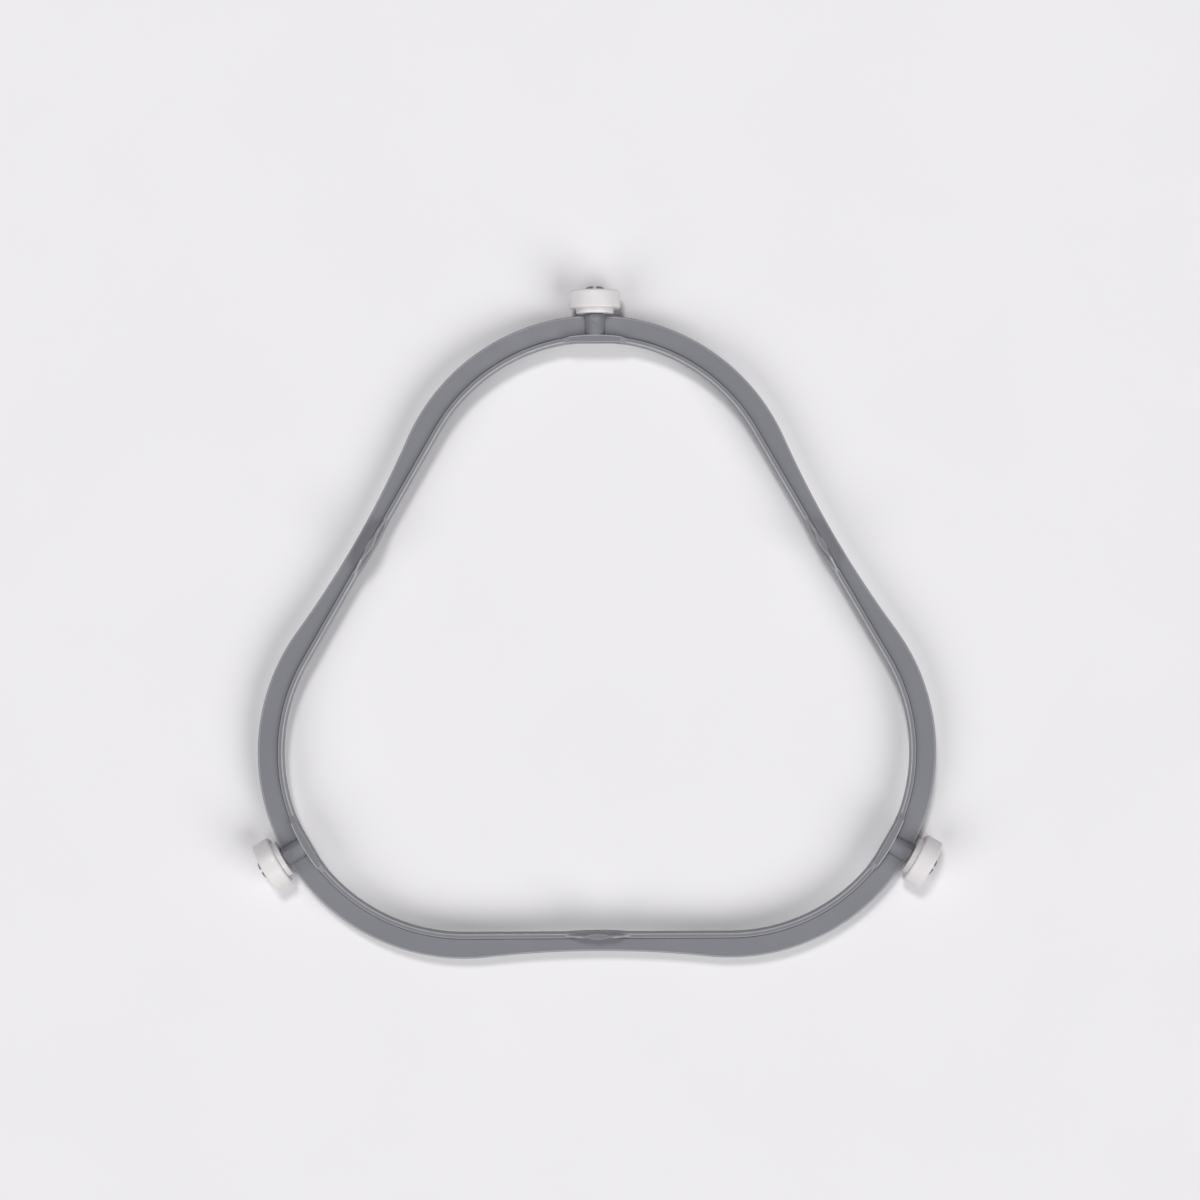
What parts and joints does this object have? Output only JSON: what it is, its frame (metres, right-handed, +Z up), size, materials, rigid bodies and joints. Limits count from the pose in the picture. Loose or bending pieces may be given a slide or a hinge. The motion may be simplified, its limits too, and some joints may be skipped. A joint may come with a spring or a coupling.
{
  "type": "microwave turntable roller ring",
  "caption": "Three-lobed moulded ring with free-spinning rollers on split snap axles, which carries a microwave oven's glass plate as it turns.",
  "frame": {"origin": "centre of the ring, on the oven floor that the rollers stand on", "axes": "+Z is up, along the axis that the ring turns about in use; +Y runs out through the back roller; +X completes a right-handed frame"},
  "size_m": [0.2022, 0.1967, 0.015],
  "materials": {
    "ring_plastic": "mid grey moulded plastic with a fine matt surface",
    "roller_plastic": "off-white moulded plastic with a smooth soft sheen"
  },
  "bodies": {
    "ring": {"support_ring": "ring_plastic"},
    "back_wheel": {"roller_back": "roller_plastic"},
    "left_wheel": {"roller_left": "roller_plastic"},
    "right_wheel": {"roller_right": "roller_plastic"}
  },
  "joints": [
    {"name": "back_roller_spin", "type": "hinge", "parent": "ring", "child": "back_wheel", "pos_m": [0, 0.11, 0.0075], "axis": [0, 1, 0], "continuous": true},
    {"name": "left_roller_spin", "type": "hinge", "parent": "ring", "child": "left_wheel", "pos_m": [-0.09526, -0.055, 0.0075], "axis": [-0.866, -0.5, 0], "continuous": true},
    {"name": "right_roller_spin", "type": "hinge", "parent": "ring", "child": "right_wheel", "pos_m": [0.09526, -0.055, 0.0075], "axis": [0.866, -0.5, 0], "continuous": true}
  ]
}
